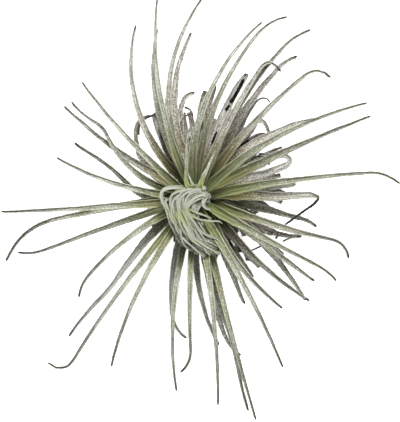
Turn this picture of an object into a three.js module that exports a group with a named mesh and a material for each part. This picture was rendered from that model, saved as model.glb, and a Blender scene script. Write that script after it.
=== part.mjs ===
import * as THREE from 'three';

// An air plant: a rosette of narrow channelled leaves on a short, leaning, woody stem.
// Millimetres and degrees. +Z is up, and the origin is the middle of the stem's flat foot.
// Bearings turn anticlockwise from +X, seen from above.

// Stem
const STEM_HEIGHT = 30;
const STEM_FOOT_RADIUS = 6;
const STEM_TOP_RADIUS = 2.6;
const STEM_LEAN = new THREE.Vector2(-4, -6);
const STEM_SIDES = 20;
const STEM_COURSES = 6;
const STEM_POINT_RISE = 0.4;

// Leaves grow up the stem in a spiral. Level 0 is the oldest and lowest, level 8 the youngest.
const FIRST_SEAT_HEIGHT = 2.6;
const LEVEL_STEP = 3.1;
const FIRST_RISE = 4;
const RISE_STEP = 5.5;
const FIRST_TIP_HEIGHT = 0.5;
const TIP_HEIGHT_GROWTH = 1.35;
const TIP_HEIGHT_POWER = 1.5;
const SEAT_GAP = 0.35;

// Leaf section
const BASE_WIDTH = 3.9;
const TIP_WIDTH = 0.75;
const WIDEST_UNTIL = 0.18;
const INNER_TAPER = 2.1;
const MIDDLE_TAPER = 1.8;
const OUTER_TAPER = 1.2;
const BLUNT_TAPER = 0.35;
const SEAT_NARROWING = 0.4;
const FULL_WIDTH_FROM = 0.15;
const BASE_THICKNESS = 1.1;
const TIP_THICKNESS = 0.45;
const CHANNEL_RATIO = 0.22;
const RING_COUNT = 14;
const TURNED_RING_COUNT = 20;
const TURN_FROM = 0.8;
const TURN_OVER = 0.2;
const ROUTE_STEPS = 400;

// Heart: the closed tuft of young leaves on top of the stem
const HEART_GAP = 0.35;
const HEART_RISE = 13;
const HEART_BOW = new THREE.Vector2(-5, -7);
const HEART_REACH = new THREE.Vector2(9, -19);
const HEART_RADIUS = 4.2;
const HEART_FOOT_RADIUS = 1.4;
const HEART_SWELL_START = 0.05;
const HEART_SIDES = 12;
const HEART_RINGS = 12;

// Each leaf: the level that it grows at, the bearing and plan distance from its seat to its
// tip, and its sweep, the angle that it turns through on the way. A narrow leaf has its own
// width. tipTurn is a hook or a fold that starts at turnFrom along the leaf. A blunt leaf has
// died back to a broad end.
const INNER_LEAVES = [
  { level: 8, bearing: 29, reach: 76, sweep: -33 },
  { level: 7, bearing: 7.5, reach: 80, sweep: -17, tipTurn: -38 },
  { level: 8, bearing: -62, reach: 72, width: 3.2, sweep: -22 },
  { level: 8, bearing: 68, reach: 73, width: 3.6, sweep: -48 },
  { level: 7.2, bearing: 100, reach: 78, width: 2.8, sweep: -23 },
  { level: 8, bearing: 133, reach: 61.5, width: 3, sweep: -2 },
  { level: 8, bearing: 183.5, reach: 74, width: 3.2, sweep: 5 },
  { level: 7, bearing: 219.5, reach: 59, width: 2.9, sweep: 31, tipTurn: 20 },
  { level: 7.2, bearing: -84, reach: 80, width: 2.6, sweep: -20 },
  { level: 6.4, bearing: -91, reach: 68.5, width: 2.6, sweep: 5, tipTurn: -45 },
  { level: 7, bearing: -28, reach: 62, sweep: -4, tipTurn: -22 },
  { level: 5.7, bearing: -75.5, reach: 90, width: 2.8, sweep: -4 },
  { level: 4.9, bearing: -96, reach: 77, width: 2.6, sweep: 22 },
  { level: 5.9, bearing: 200, reach: 73, width: 2.9, sweep: 6, tipTurn: -24 },
  { level: 5.7, bearing: 234, reach: 92, width: 2.4, sweep: 10,
    tipTurn: -85, turnFrom: 0.84, turnOver: 0.16 },
  { level: 7.3, bearing: 244, reach: 72, width: 2.7, sweep: 19 },
  { level: 7.1, bearing: 163, reach: 54.5, width: 2.8, sweep: -16 },
  { level: 6.4, bearing: 129, reach: 57, width: 2.6, sweep: -76,
    tipTurn: 44, turnFrom: 0.66, turnOver: 0.12 },
  { level: 6.8, bearing: 65, reach: 79.5, width: 3.4, sweep: -38, tipTurn: -30 },
];

const MIDDLE_LEAVES = [
  { level: 4.9, bearing: 192, reach: 83, width: 2.8, sweep: 12,
    tipTurn: 42, turnFrom: 0.6, turnOver: 0.4 },
  { level: 4.9, bearing: 109, reach: 69, width: 3, sweep: -58 },
  { level: 6.2, bearing: 87, reach: 76, width: 3, sweep: -60 },
  { level: 6.1, bearing: 62, reach: 64, width: 3.4, sweep: -14,
    tipTurn: -105, turnFrom: 0.84, turnOver: 0.12 },
  { level: 4.3, bearing: 57, reach: 76, width: 3.4, sweep: -28, tipTurn: -20 },
  { level: 3.7, bearing: 46, reach: 70, width: 3.6, sweep: -20,
    tipTurn: -80, turnFrom: 0.82, turnOver: 0.18 },
  { level: 5.3, bearing: 24.5, reach: 72, sweep: -10 },
  { level: 6.2, bearing: -16, reach: 64, width: 3.4, sweep: 5, tipTurn: -64 },
  { level: 4.3, bearing: -44, reach: 58, width: 3.4, sweep: 16 },
  { level: 5, bearing: -53, reach: 53, width: 3.4, sweep: 20 },
  { level: 4.2, bearing: -71, reach: 86.5, width: 3.2, sweep: 26,
    tipTurn: -18, turnFrom: 0.5, turnOver: 0.3 },
  { level: 4.2, bearing: 235, reach: 75, width: 3.4, sweep: 36,
    tipTurn: -18, turnFrom: 0.5, turnOver: 0.25 },
  { level: 3.3, bearing: 130, reach: 41, width: 2.2, sweep: -150,
    tipTurn: 88, turnFrom: 0.4, turnOver: 0.6 },
  { level: 5.6, bearing: 146, reach: 61, width: 3, sweep: -12 },
  { level: 3.9, bearing: 103.5, reach: 64, width: 3.4, sweep: -45 },
  { level: 3.5, bearing: -82.5, reach: 59, width: 2.8, sweep: 32 },
  { level: 2.8, bearing: -98, reach: 59, width: 2.6, sweep: 40,
    tipTurn: 34, turnFrom: 0.76, turnOver: 0.24 },
];

const OUTER_LEAVES = [
  { level: 3.2, bearing: 92, reach: 60, sweep: -54 },
  { level: 2.2, bearing: 122, reach: 38.5, sweep: -110, tipTurn: -60, turnFrom: 0.78 },
  { level: 3.2, bearing: 68, reach: 46, sweep: -22, blunt: true },
  { level: 2.6, bearing: 56, reach: 62, sweep: -20, tipTurn: -22 },
  { level: 1.9, bearing: 51, reach: 38, sweep: -6, tipTurn: -120, turnFrom: 0.72, turnOver: 0.2 },
  { level: 3.1, bearing: 30, reach: 52, sweep: -38 },
  { level: 3.3, bearing: 19, reach: 48, sweep: 8, tipTurn: 155, turnFrom: 0.64, turnOver: 0.14 },
  { level: 1.1, bearing: 22, reach: 21, sweep: 0, blunt: true },
  { level: 1.8, bearing: 4, reach: 32, sweep: 10, blunt: true },
  { level: 3.9, bearing: 0.5, reach: 62, sweep: 6, tipTurn: -145, turnFrom: 0.66, turnOver: 0.08 },
  { level: 2.7, bearing: -16, reach: 44, sweep: 0, tipTurn: -25 },
  { level: 1.3, bearing: -35, reach: 28, sweep: 0, blunt: true },
  { level: 0, bearing: -25, reach: 39, sweep: 50 },
  { level: 3.4, bearing: -38.5, reach: 54, sweep: 0 },
  { level: 2, bearing: -49, reach: 57, sweep: -25 },
  { level: 2.7, bearing: -70, reach: 45, sweep: 0 },
  { level: 2.1, bearing: -79, reach: 66.5, sweep: 22, tipTurn: 25 },
  { level: 1.6, bearing: 122, reach: 31, sweep: -30, blunt: true },
  { level: 0.9, bearing: 96, reach: 36.5, sweep: -60, tipTurn: -60 },
  { level: 0.8, bearing: 83, reach: 36, sweep: -28, blunt: true },
  { level: 0.2, bearing: 196, reach: 21, sweep: 0, blunt: true },
  { level: 1, bearing: 218, reach: 22, sweep: 0, blunt: true },
];

const INNER_FINISH = new THREE.MeshStandardMaterial({ color: 0x9aa583, roughness: 0.75, metalness: 0 });
const MIDDLE_FINISH = new THREE.MeshStandardMaterial({ color: 0x969c87, roughness: 0.85, metalness: 0 });
const OUTER_FINISH = new THREE.MeshStandardMaterial({ color: 0x8d867c, roughness: 0.95, metalness: 0 });
const HEART_FINISH = new THREE.MeshStandardMaterial({ color: 0xbec3af, roughness: 0.7, metalness: 0 });
const STEM_FINISH = new THREE.MeshStandardMaterial({ color: 0x6b5847, roughness: 0.95, metalness: 0 });

const radians = THREE.MathUtils.degToRad;

// A closed solid through rings of equal size, each listed anticlockwise as seen from its far
// side. It starts with a flat end, and ends at the apex.
function ringSolid(rings, apex) {
  const sides = rings[0].length;
  const corners = [...rings.flat(), apex];
  const apexIndex = corners.length - 1;
  const faces = [];
  for (let side = 1; side < sides - 1; side += 1) {
    faces.push(0, side + 1, side);
  }
  for (let ring = 0; ring < rings.length; ring += 1) {
    for (let side = 0; side < sides; side += 1) {
      const here = ring * sides + side;
      const beside = ring * sides + ((side + 1) % sides);
      if (ring === rings.length - 1) {
        faces.push(here, beside, apexIndex);
      } else {
        faces.push(here, beside, beside + sides);
        faces.push(here, beside + sides, here + sides);
      }
    }
  }
  const places = corners.flatMap((corner) => corner.toArray());
  const geometry = new THREE.BufferGeometry();
  geometry.setAttribute('position', new THREE.Float32BufferAttribute(places, 3));
  geometry.setIndex(faces);
  geometry.computeVertexNormals();
  return geometry;
}

function stemCentre(height) {
  const part = height / STEM_HEIGHT;
  return new THREE.Vector3(STEM_LEAN.x * part, STEM_LEAN.y * part, height);
}

function stemRadius(height) {
  return THREE.MathUtils.lerp(STEM_FOOT_RADIUS, STEM_TOP_RADIUS, height / STEM_HEIGHT);
}

function makeStem() {
  const rings = [];
  for (let course = 0; course <= STEM_COURSES; course += 1) {
    const height = (STEM_HEIGHT * course) / STEM_COURSES;
    const centre = stemCentre(height);
    const radius = stemRadius(height);
    const ring = [];
    for (let side = 0; side < STEM_SIDES; side += 1) {
      const angle = (2 * Math.PI * side) / STEM_SIDES;
      ring.push(new THREE.Vector3(radius * Math.cos(angle), radius * Math.sin(angle), 0).add(centre));
    }
    rings.push(ring);
  }
  return ringSolid(rings, stemCentre(STEM_HEIGHT + STEM_POINT_RISE));
}

// The six corners of a leaf's section, as shares of its half width and its thickness. The two
// edges stand above the midrib, so the leaf's upper face is a channel.
const SECTION = [[-1, 0.5], [-0.5, -0.3], [0, -0.5], [0.5, -0.3], [1, 0.5], [0, 0.35]];

// A leaf is narrowed where it is crowded at its seat, and widest just outside that. The young
// leaves taper the fastest, to long thin ends.
function leafWidth(leaf, along, taper) {
  const opened = THREE.MathUtils.smoothstep(along, 0, FULL_WIDTH_FROM);
  const { width = BASE_WIDTH } = leaf;
  const base = width * (1 - SEAT_NARROWING * (1 - opened));
  if (leaf.blunt) {
    return base * (1 - BLUNT_TAPER * along);
  }
  const thinning = Math.max(0, (along - WIDEST_UNTIL) / (1 - WIDEST_UNTIL));
  return TIP_WIDTH + (base - TIP_WIDTH) * (1 - thinning) ** taper;
}

// The leaf's midline: points with their heading, in plan, and their pitch.
function leafRoute(leaf) {
  const { turnFrom = TURN_FROM, turnOver = TURN_OVER, tipTurn = 0 } = leaf;
  const sweep = radians(leaf.sweep);
  const length = sweep === 0 ? leaf.reach : (leaf.reach * sweep) / (2 * Math.sin(sweep / 2));
  const seatHeight = FIRST_SEAT_HEIGHT + LEVEL_STEP * leaf.level;
  const slope = Math.tan(radians(FIRST_RISE + RISE_STEP * leaf.level));
  const tipHeight = FIRST_TIP_HEIGHT + TIP_HEIGHT_GROWTH * leaf.level ** TIP_HEIGHT_POWER;
  const fall = tipHeight - seatHeight - slope * length;
  const heading = (along) => {
    const turned = THREE.MathUtils.smoothstep(along, turnFrom, turnFrom + turnOver);
    return radians(leaf.bearing) + sweep * (along - 0.5) + radians(tipTurn) * turned;
  };
  const start = heading(0);
  const out = stemRadius(seatHeight) + SEAT_GAP;
  const place = stemCentre(seatHeight);
  place.x += out * Math.cos(start);
  place.y += out * Math.sin(start);
  const route = [];
  for (let step = 0; step <= ROUTE_STEPS; step += 1) {
    const along = step / ROUTE_STEPS;
    const point = place.clone();
    point.z = seatHeight + slope * length * along + fall * along * along;
    const pitch = Math.atan((slope * length + 2 * fall * along) / length);
    route.push({ point, heading: heading(along), pitch, along });
    const between = heading(along + 0.5 / ROUTE_STEPS);
    place.x += (Math.cos(between) * length) / ROUTE_STEPS;
    place.y += (Math.sin(between) * length) / ROUTE_STEPS;
  }
  return route;
}

// The first ring stands upright, flat to the stem. The rest stand square to the midline.
function makeLeaf(leaf, taper) {
  const route = leafRoute(leaf);
  const ringCount = leaf.tipTurn ? TURNED_RING_COUNT : RING_COUNT;
  const rings = [];
  for (let ring = 0; ring < ringCount; ring += 1) {
    const { point, heading, pitch, along } = route[Math.round((ROUTE_STEPS * ring) / ringCount)];
    const halfWidth = leafWidth(leaf, along, taper) / 2;
    const thickness = THREE.MathUtils.lerp(BASE_THICKNESS, TIP_THICKNESS, along);
    const depth = thickness + CHANNEL_RATIO * halfWidth;
    const lean = ring === 0 ? 0 : pitch;
    const side = new THREE.Vector3(Math.sin(heading), -Math.cos(heading), 0);
    const up = new THREE.Vector3(
      -Math.sin(lean) * Math.cos(heading),
      -Math.sin(lean) * Math.sin(heading),
      Math.cos(lean),
    );
    rings.push(SECTION.map(([across, over]) => {
      const corner = point.clone().addScaledVector(side, across * halfWidth);
      return corner.addScaledVector(up, over * depth);
    }));
  }
  return ringSolid(rings.map((ring) => ring.reverse()), route[ROUTE_STEPS].point);
}

// The tuft bows to one side, then back, and closes to a point.
function makeHeart() {
  const foot = stemCentre(STEM_HEIGHT + STEM_POINT_RISE + HEART_GAP);
  const bend = foot.clone().add(new THREE.Vector3(HEART_BOW.x, HEART_BOW.y, HEART_RISE));
  const end = foot.clone().add(new THREE.Vector3(HEART_REACH.x, HEART_REACH.y, HEART_RISE));
  const midline = new THREE.QuadraticBezierCurve3(foot, bend, end);
  const rings = [];
  for (let ring = 0; ring < HEART_RINGS; ring += 1) {
    const along = ring / HEART_RINGS;
    const swell = Math.sin(Math.PI * (along + HEART_SWELL_START));
    const radius = THREE.MathUtils.lerp(HEART_FOOT_RADIUS, HEART_RADIUS, swell);
    const centre = midline.getPoint(along);
    const tangent = ring === 0 ? new THREE.Vector3(0, 0, 1) : midline.getTangent(along);
    const side = new THREE.Vector3(1, 0, 0).projectOnPlane(tangent).normalize();
    const over = tangent.clone().cross(side);
    const corners = [];
    for (let step = 0; step < HEART_SIDES; step += 1) {
      const angle = (2 * Math.PI * step) / HEART_SIDES;
      const corner = centre.clone().addScaledVector(side, radius * Math.cos(angle));
      corners.push(corner.addScaledVector(over, radius * Math.sin(angle)));
    }
    rings.push(corners);
  }
  return ringSolid(rings, end);
}

const group = new THREE.Group();

function add(name, geometry, finish) {
  const mesh = new THREE.Mesh(geometry, finish);
  mesh.name = name;
  group.add(mesh);
}

function addLeaves(prefix, leaves, taper, finish) {
  leaves.forEach((leaf, index) => {
    add(`${prefix}_${String(index + 1).padStart(2, '0')}`, makeLeaf(leaf, taper), finish);
  });
}

add('stem', makeStem(), STEM_FINISH);
add('heart', makeHeart(), HEART_FINISH);
addLeaves('inner_leaf', INNER_LEAVES, INNER_TAPER, INNER_FINISH);
addLeaves('middle_leaf', MIDDLE_LEAVES, MIDDLE_TAPER, MIDDLE_FINISH);
addLeaves('outer_leaf', OUTER_LEAVES, OUTER_TAPER, OUTER_FINISH);

export default group;
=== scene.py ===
import itertools
import math
import random

import bpy
from mathutils import Matrix, Vector, noise
from mathutils.bvhtree import BVHTree


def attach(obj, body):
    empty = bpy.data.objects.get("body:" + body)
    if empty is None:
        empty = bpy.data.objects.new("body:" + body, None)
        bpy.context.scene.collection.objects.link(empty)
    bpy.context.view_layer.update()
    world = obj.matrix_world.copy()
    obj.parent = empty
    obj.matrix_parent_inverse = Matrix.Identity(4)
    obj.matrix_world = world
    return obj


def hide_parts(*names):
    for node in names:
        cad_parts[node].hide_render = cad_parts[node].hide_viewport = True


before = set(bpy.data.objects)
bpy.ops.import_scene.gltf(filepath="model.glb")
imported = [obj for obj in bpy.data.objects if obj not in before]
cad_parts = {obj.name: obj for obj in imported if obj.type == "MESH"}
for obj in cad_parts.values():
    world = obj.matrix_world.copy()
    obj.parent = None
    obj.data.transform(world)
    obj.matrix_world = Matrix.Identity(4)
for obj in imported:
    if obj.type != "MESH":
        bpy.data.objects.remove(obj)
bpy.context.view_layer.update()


# ---------------------------------------------------------------- inner leaves
# The young green leaves round the heart. Each is one long channelled blade, olive where it
# clasps the stem and sage under silvery scales further out. It grows from a seat on the stem,
# which its broad sheath wraps.

MM = 0.001


class Value:
    """A shader socket. An operator on it adds the Math node that works it out."""

    def __init__(self, finish, socket):
        self.finish = finish
        self.socket = socket

    def maths(self, operation, first, second):
        return self.finish.node("ShaderNodeMath", {"operation": operation}, {0: first, 1: second})

    def __add__(self, other):
        return self.maths("ADD", self, other)

    def __radd__(self, other):
        return self.maths("ADD", other, self)

    def __sub__(self, other):
        return self.maths("SUBTRACT", self, other)

    def __rsub__(self, other):
        return self.maths("SUBTRACT", other, self)

    def __mul__(self, other):
        return self.maths("MULTIPLY", self, other)

    def __rmul__(self, other):
        return self.maths("MULTIPLY", other, self)


class Finish:
    """A procedural material. node() adds any shader node, set up and wired."""

    def __init__(self, name):
        self.material = bpy.data.materials.new(name)
        self.material.use_nodes = True
        self.tree = self.material.node_tree
        self.tree.nodes.clear()

    def node(self, kind, settings=None, inputs=None, output=0):
        made = self.tree.nodes.new(kind)
        for setting, value in (settings or {}).items():
            if setting == "stops":
                self.set_stops(made.color_ramp, value)
            else:
                setattr(made, setting, value)
        for key, value in (inputs or {}).items():
            if isinstance(value, Value):
                self.tree.links.new(value.socket, made.inputs[key])
            else:
                made.inputs[key].default_value = value
        return Value(self, made.outputs[output]) if made.outputs else None

    @staticmethod
    def set_stops(ramp, stops):
        while len(ramp.elements) < len(stops):
            ramp.elements.new(1.0)
        for element, (position, colour) in zip(ramp.elements, stops):
            element.position = position
            element.color = (*colour, 1.0)

    def mix(self, factor, first, second, blend="MIX"):
        """first where the factor is 0, and second where it is 1. Both are colours."""
        inputs = {0: factor}
        for key, colour in ((6, first), (7, second)):
            inputs[key] = colour if isinstance(colour, Value) else (*colour, 1.0)
        return self.node("ShaderNodeMix", {"data_type": "RGBA", "blend_type": blend}, inputs, 2)

    def band(self, value, low, high):
        """0 below low, 1 above high, and smooth between."""
        settings = {"interpolation_type": "SMOOTHSTEP"}
        return self.node("ShaderNodeMapRange", settings, {0: value, 1: low, 2: high})

    def finish_with(self, colour, roughness, height, depth, sheen, gloss=0.25):
        """Closes the material. height is the relief, and depth how deep it is, in metres."""
        bump = self.node("ShaderNodeBump", None, {"Height": height, "Distance": depth}, "Normal")
        inputs = {"Base Color": colour, "Roughness": roughness, "Normal": bump}
        inputs |= {"Sheen Weight": sheen, "Sheen Roughness": 0.6, "Specular IOR Level": gloss}
        surface = self.node("ShaderNodeBsdfPrincipled", None, inputs, "BSDF")
        self.node("ShaderNodeOutputMaterial", None, {"Surface": surface})
        return self.material


NEVER_BARE = 2.0
RELIEF = 0.4 * MM


def leaf_finish(
    name, along_stops, margin_colour, scurf, blotch, speckle=1700.0, depth=0.72, bare=0.94, veins=1.4
):
    """Veined leaf tissue that changes from base to tip, with pale margins, under a coat of scales.

    scurf is the scales' colour and cover, blotch the colour and strength of dead patches, speckle
    the fineness of the scales, and depth how dark the veins are and how deep the painted shade on
    the under side and the covered places is. The tip carries no scales from bare on, and veins is
    how many there are to a millimetre.
    """
    scale_colour, scale_cover = scurf
    blotch_colour, blotch_strength = blotch
    leaf = Finish(name)
    place = leaf.node("ShaderNodeTexCoord", None, None, "Object")
    along = leaf.node("ShaderNodeAttribute", {"attribute_name": "along"}, None, "Fac")
    across = leaf.node("ShaderNodeAttribute", {"attribute_name": "across"}, None, "Fac")
    rim = leaf.node("ShaderNodeAttribute", {"attribute_name": "rim"}, None, "Fac")
    # Painted shade: how closely the neighbours cover each point darkens the colour below.
    shelter = leaf.node("ShaderNodeAttribute", {"attribute_name": "shelter"}, None, "Fac")
    tissue = leaf.node("ShaderNodeValToRGB", {"stops": along_stops}, {0: along}, "Color")

    vein_place = leaf.node("ShaderNodeCombineXYZ", None, {0: across * veins, 1: along * 6.0})
    vein = leaf.node("ShaderNodeTexNoise", None, {"Vector": vein_place, "Scale": 1.0, "Detail": 4.0})
    dash_place = leaf.node("ShaderNodeCombineXYZ", None, {0: across * 3.0, 1: along * 70.0})
    dash = leaf.node("ShaderNodeTexNoise", None, {"Vector": dash_place, "Scale": 1.0, "Detail": 3.0})
    broad = leaf.node("ShaderNodeTexNoise", None, {"Vector": place, "Scale": 90.0, "Detail": 3.0})
    grain = leaf.node("ShaderNodeTexNoise", None, {"Vector": place, "Scale": speckle, "Detail": 2.0})

    # rim is 0 along the middle of the upper side, 1 at the edge and 2 along the middle below.
    # The under side is painted in shade: darker, with fewer scales and no pale margin.
    under_shade = leaf.band(rim, 1.02, 1.35)
    tissue = leaf.mix(leaf.band(broad, 0.45, 0.68) * blotch_strength, tissue, blotch_colour)

    # The scales thicken away from the stem, and the bare tip has none.
    outward = leaf.band(along, 0.07, 0.47)
    clothed = 1.0 - leaf.band(along, bare, bare + 0.05)
    cover = (grain * 0.6 + dash * 0.4) + (outward * 0.19 - 0.19) + (scale_cover - 0.5)
    scales = leaf.band(cover, 0.45, 0.55) * (1.0 - under_shade * 0.75) * clothed
    colour = leaf.mix(scales * 0.85, tissue, scale_colour)
    margin = leaf.band(rim, 0.66, 0.94) * (outward * 0.3 + 0.3) * (1.0 - under_shade) * clothed
    colour = leaf.mix(margin, colour, margin_colour)

    # The veins are dark, the under side and the covered places are painted darker as shade, and the
    # base is warm.
    shade = leaf.band(vein, 0.38, 0.6) * (depth * 0.94) + (1.25 - depth * 0.94)
    shade = shade * (1.0 - under_shade * (depth * 0.85)) * (1.0 - leaf.band(shelter, 0.18, 0.85) * depth)
    warmed = shade * (outward * 0.28 + 0.72)
    shade_colour = leaf.node("ShaderNodeCombineColor", None, {0: shade, 1: shade, 2: warmed})
    colour = leaf.mix(1.0, colour, shade_colour, "MULTIPLY")
    relief = grain * 0.5 + vein * 0.5
    return leaf.finish_with(colour, 0.7 + scales * 0.18, relief, RELIEF, 0.1)


# A leaf's CAD solid: how many corners a ring has, and how far down the ring's depth its four
# middle corners lie on average.
RING_CORNERS = 6
KEEL_SHARE = 0.6875


def solid_rings(node):
    """The apex of a leaf's CAD solid and its rings of corners, from the seat outwards."""
    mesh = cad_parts[node].data
    # Vertices that agree to a micrometre are one corner.
    number = {}
    corner = [
        number.setdefault(tuple(round(c / MM * 1000) for c in v.co), len(number))
        for v in mesh.vertices
    ]
    place = {corner[v.index]: v.co.copy() for v in mesh.vertices}
    beside = {c: set() for c in place}
    for edge in mesh.edges:
        first, second = (corner[v] for v in edge.vertices)
        if first != second:
            beside[first].add(second)
            beside[second].add(first)
    for apex in place:
        rings, seen = [{apex}], {apex}
        while len(seen) < len(place):
            rings.append(set().union(*(beside[c] for c in rings[-1])) - seen)
            seen |= rings[-1]
        if all(len(ring) == RING_CORNERS for ring in rings[1:]):
            return place[apex], [[place[c] for c in sorted(ring)] for ring in reversed(rings[1:])]
    raise ValueError(f"{node} isn't made of rings")


BELLY = 0.12
TIP_PARTS = (0.35, 0.6, 0.8, 0.93)
TIP_HALF_WIDTH = 0.1 * MM


def leaf_run(node, swell, fringe):
    """The leaf's stations, from its seat to its apex: its midline, its upper side and half width.

    swell is how much wider the blade is than its CAD solid, and fringe the scales that stand out
    from each edge.
    """
    apex, rings = solid_rings(node)
    run = []
    for ring in rings:
        left, right = max(itertools.combinations(ring, 2), key=lambda pair: (pair[0] - pair[1]).length)
        rest = [c for c in ring if c is not left and c is not right]
        middle = (left + right) / 2
        drop = middle - sum(rest, Vector()) / len(rest)
        centre = middle - drop * (0.5 / KEEL_SHARE)
        belly = 1 + BELLY * math.sin(math.pi * len(run) / len(rings))
        run.append((centre, drop.normalized(), (left - right).length / 2 * swell * belly + fringe))
    last, up, half_width = run[-1]
    for part in TIP_PARTS:
        run.append((last.lerp(apex, part), up, half_width * math.sqrt(1 - part * part)))
    run.append((apex, up, TIP_HALF_WIDTH))
    return run


# How low a sheath may reach, and how far it is tucked in behind the seat, below and above.
SHEATH_FOOT = 1.2 * MM
SHEATH_TUCKS = (0.5 * MM, 0.2 * MM)
stem_corners = [v.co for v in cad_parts["stem"].data.vertices]
stem_top = max(stem_corners, key=lambda c: c.z).copy()


def with_sheath(run, drop, half_width):
    """The run with the sheath that wraps the stem below the seat, as low as the foot allows."""
    seat = run[0][0]
    axis = stem_top * (seat.z / stem_top.z)
    outward = Vector((seat.x - axis.x, seat.y - axis.y, 0.0)).normalized()
    fall = min(drop, seat.z - SHEATH_FOOT)
    low = seat - outward * SHEATH_TUCKS[0] - Vector((0, 0, fall))
    high = seat - outward * SHEATH_TUCKS[1] - Vector((0, 0, fall * 0.45))
    upright = (run[0][1] * 0.35 - outward).normalized()
    return [(low, -outward, half_width), (high, upright, half_width * 0.97), *run]


def smooth(run, position):
    """The station at a position along the run, on a smooth curve through all of them."""
    last = len(run) - 1
    here = min(int(position), last - 1)
    part = position - here
    before, start, end, after = (run[min(max(here + k, 0), last)] for k in (-1, 0, 1, 2))
    bend = 0.5 * (
        2 * start[0]
        + (end[0] - before[0]) * part
        + (2 * before[0] - 5 * start[0] + 4 * end[0] - after[0]) * part**2
        + (3 * start[0] - before[0] - 3 * end[0] + after[0]) * part**3
    )
    return bend, start[1].lerp(end[1], part), start[2] + (end[2] - start[2]) * part


FINE_STEPS = 12
FEWEST_STATIONS = 8


def even_stations(run, gap):
    """Stations at an even distance along the smooth run."""
    fine = [smooth(run, k / FINE_STEPS) for k in range(FINE_STEPS * (len(run) - 1) + 1)]
    lengths = [0.0]
    for first, second in zip(fine, fine[1:]):
        lengths.append(lengths[-1] + (second[0] - first[0]).length)
    count = max(FEWEST_STATIONS, round(lengths[-1] / gap))
    stations, k = [], 0
    for step in range(count + 1):
        target = lengths[-1] * step / count
        while k < len(fine) - 2 and lengths[k + 1] < target:
            k += 1
        part = (target - lengths[k]) / max(lengths[k + 1] - lengths[k], 1e-9)
        part = min(max(part, 0.0), 1.0)
        first, second = fine[k], fine[k + 1]
        centre = first[0].lerp(second[0], part)
        half_width = first[2] + (second[2] - first[2]) * part
        stations.append((centre, first[1].lerp(second[1], part), half_width))
    return stations


# Where a blade's points lie across its upper side and back under it, from edge to edge.
UPPER_STRIPS = 8
LOWER_STRIPS = 7
UPPER_PLACES = [2 * k / UPPER_STRIPS - 1 for k in range(UPPER_STRIPS + 1)]
LOWER_PLACES = [1 - 2 * (k + 1) / (LOWER_STRIPS + 1) for k in range(LOWER_STRIPS)]
BLADE_SIDES = len(UPPER_PLACES) + len(LOWER_PLACES)

# A blade is held by its base over a first part of its length, and then it waves. Its edges carry
# clumps of scales, called teeth here, and single bristles.
STATION_GAP = 0.36 * MM
HELD_PART = 1 / 6
WAVE_SIZE = 9 * MM
WAVE_TWIST = 0.7
WAVE_SHIFT = 0.5 * MM
SWELLING_SIZE = 2.5 * MM
SWELLING = 0.12
THINNING = 0.6
LEAST_ROLL = 0.15
UPPER_FUZZ = 0.6
TOOTH_SIZES = (0.9 * MM, 0.4 * MM)
TOOTH_REACH = 1.4
BRISTLE_REACH = 0.2
BRISTLE_SLANT = 0.3
FLOOR_CLEARANCE = 0.05 * MM

# without a seed of its own, the noise would give each run slightly different waves
WAVE_SEED = 1
noise.seed_set(WAVE_SEED)


def tooth(point, drift):
    """How far a clump of scales stands out from the edge at a point. It is 0 between clumps."""
    large, small = TOOTH_SIZES
    return max(noise.noise(point / large + drift) + 0.5 * noise.noise(point / small - drift), 0.0)


def ring_faces(rings, sides):
    """The foot and the sides of a closed skin over rings of points."""
    faces = [tuple(reversed(range(sides)))]
    for ring in range(rings - 1):
        for k in range(sides):
            here, there = ring * sides + k, ring * sides + (k + 1) % sides
            faces.append((here, there, there + sides, here + sides))
    return faces


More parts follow.
